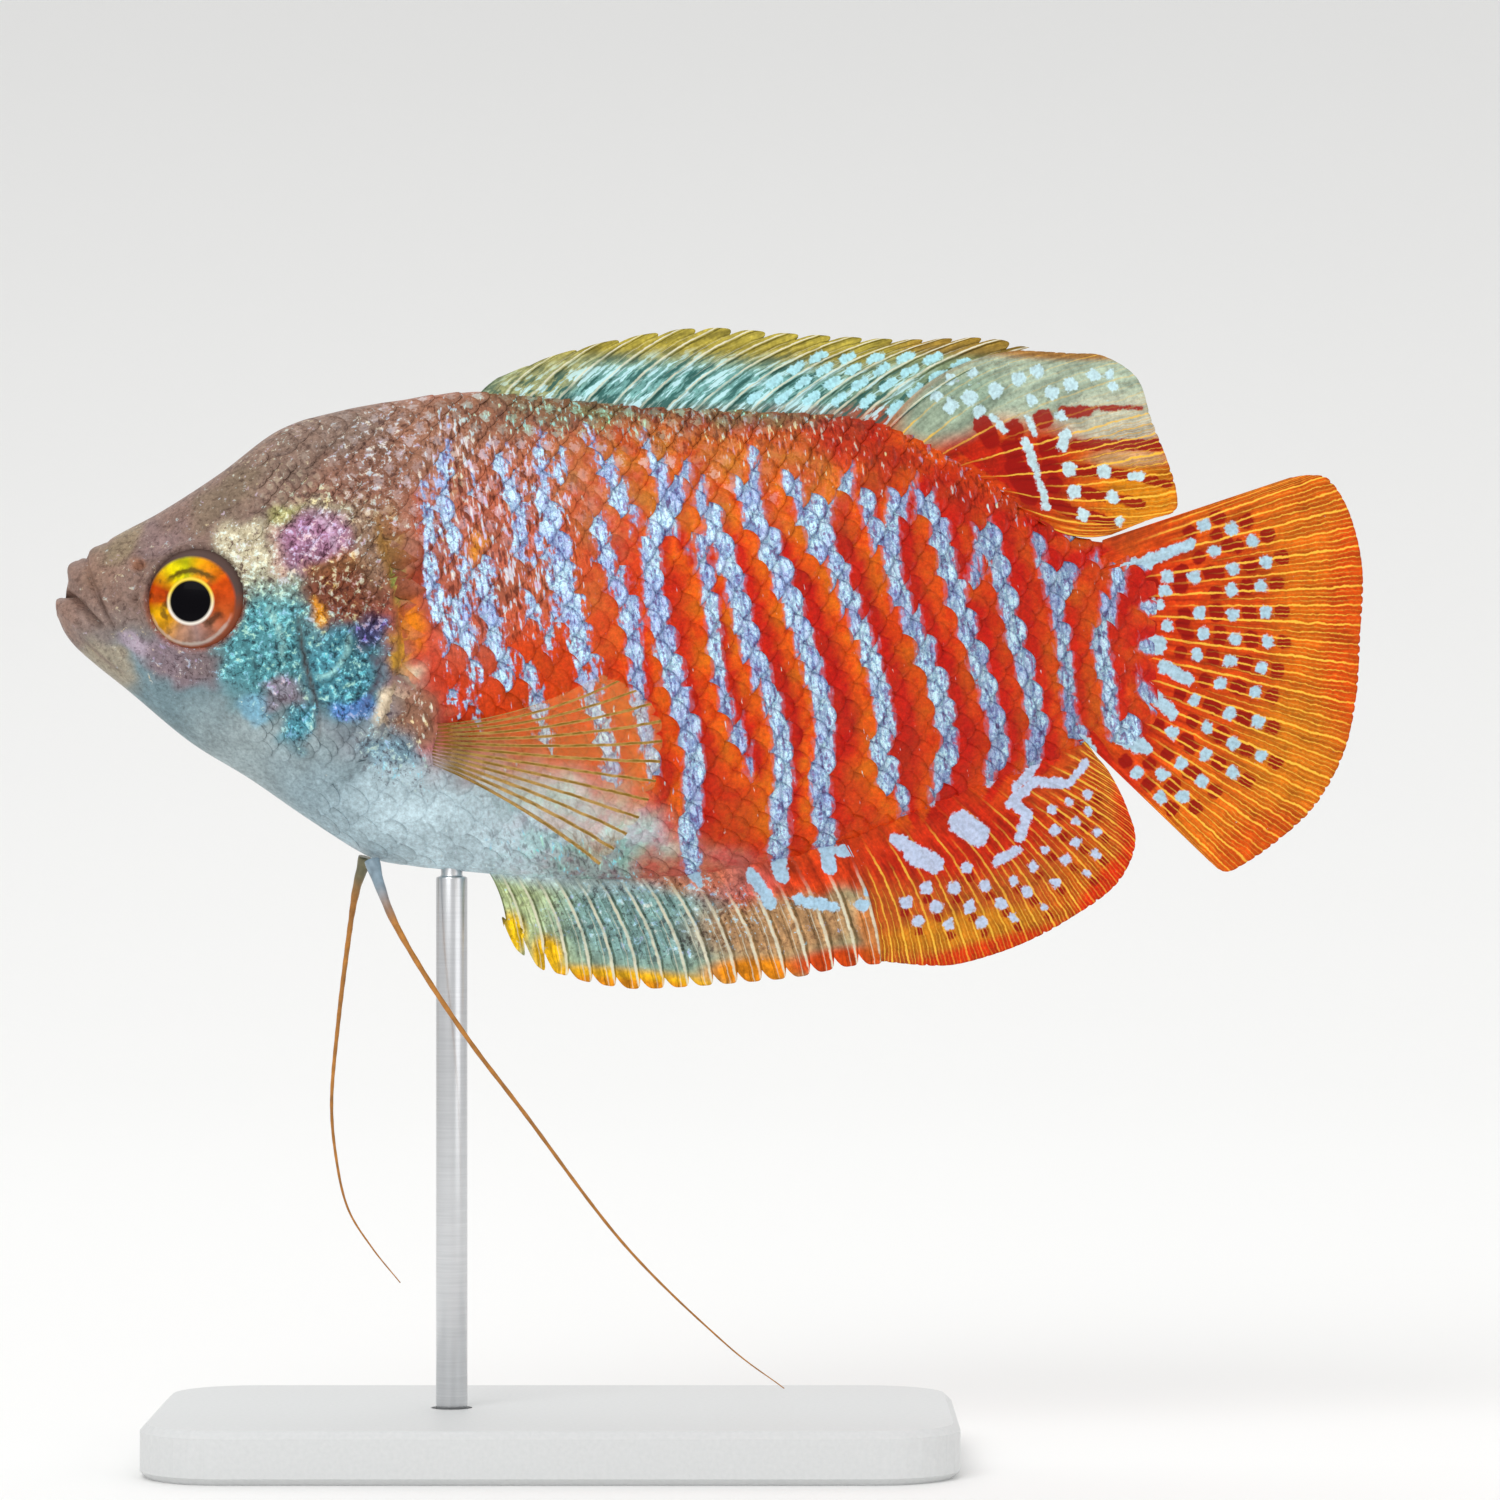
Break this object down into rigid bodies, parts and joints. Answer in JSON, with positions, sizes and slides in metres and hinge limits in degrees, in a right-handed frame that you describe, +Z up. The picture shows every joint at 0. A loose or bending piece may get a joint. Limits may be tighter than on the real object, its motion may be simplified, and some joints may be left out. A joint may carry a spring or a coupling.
{
  "type": "dwarf gourami model",
  "caption": "Still, life-size dwarf gourami, a deep, flat-sided fish with barred flanks, spread fins and thread feelers, swimming level over a plain flat base with one rod.",
  "frame": {"origin": "centre of the underside of the stand's flat base", "axes": "-X toward the snout, +X toward the tail fin, +Y toward the fish's right side, +Z up"},
  "size_m": [0.0751, 0.026, 0.065],
  "materials": {
    "head_skin": "wet skin, brown-grey with turquoise on the cheek",
    "flank_skin": "small overlapping scales, red-orange with pale blue bars",
    "eye": "clear wet surface over a red and yellow iris with a black pupil",
    "fin": "thin ribbed membrane with pale blue dots",
    "clear_fin": "thin clear membrane with olive rays",
    "feeler": "smooth thread, ochre",
    "stand_plate": "satin pale grey",
    "stand_steel": "fine satin"
  },
  "bodies": {
    "root": {"head": "head_skin", "upper_lip": "head_skin", "lower_jaw": "head_skin", "gill_cover_left": "head_skin", "gill_cover_right": "head_skin", "eye_left": "eye", "eye_right": "eye", "torso": "flank_skin", "tail_base": "flank_skin", "dorsal_fin_spiny": "fin", "dorsal_fin_soft": "fin", "anal_fin_spiny": "fin", "anal_fin_soft": "fin", "tail_fin": "fin", "pectoral_fin_left": "clear_fin", "pectoral_fin_right": "clear_fin", "feeler_left_upper": "feeler", "feeler_left_lower": "feeler", "feeler_right_upper": "feeler", "feeler_right_lower": "feeler", "stand_base": "stand_plate", "stand_rod": "stand_steel"}
  },
  "joints": []
}
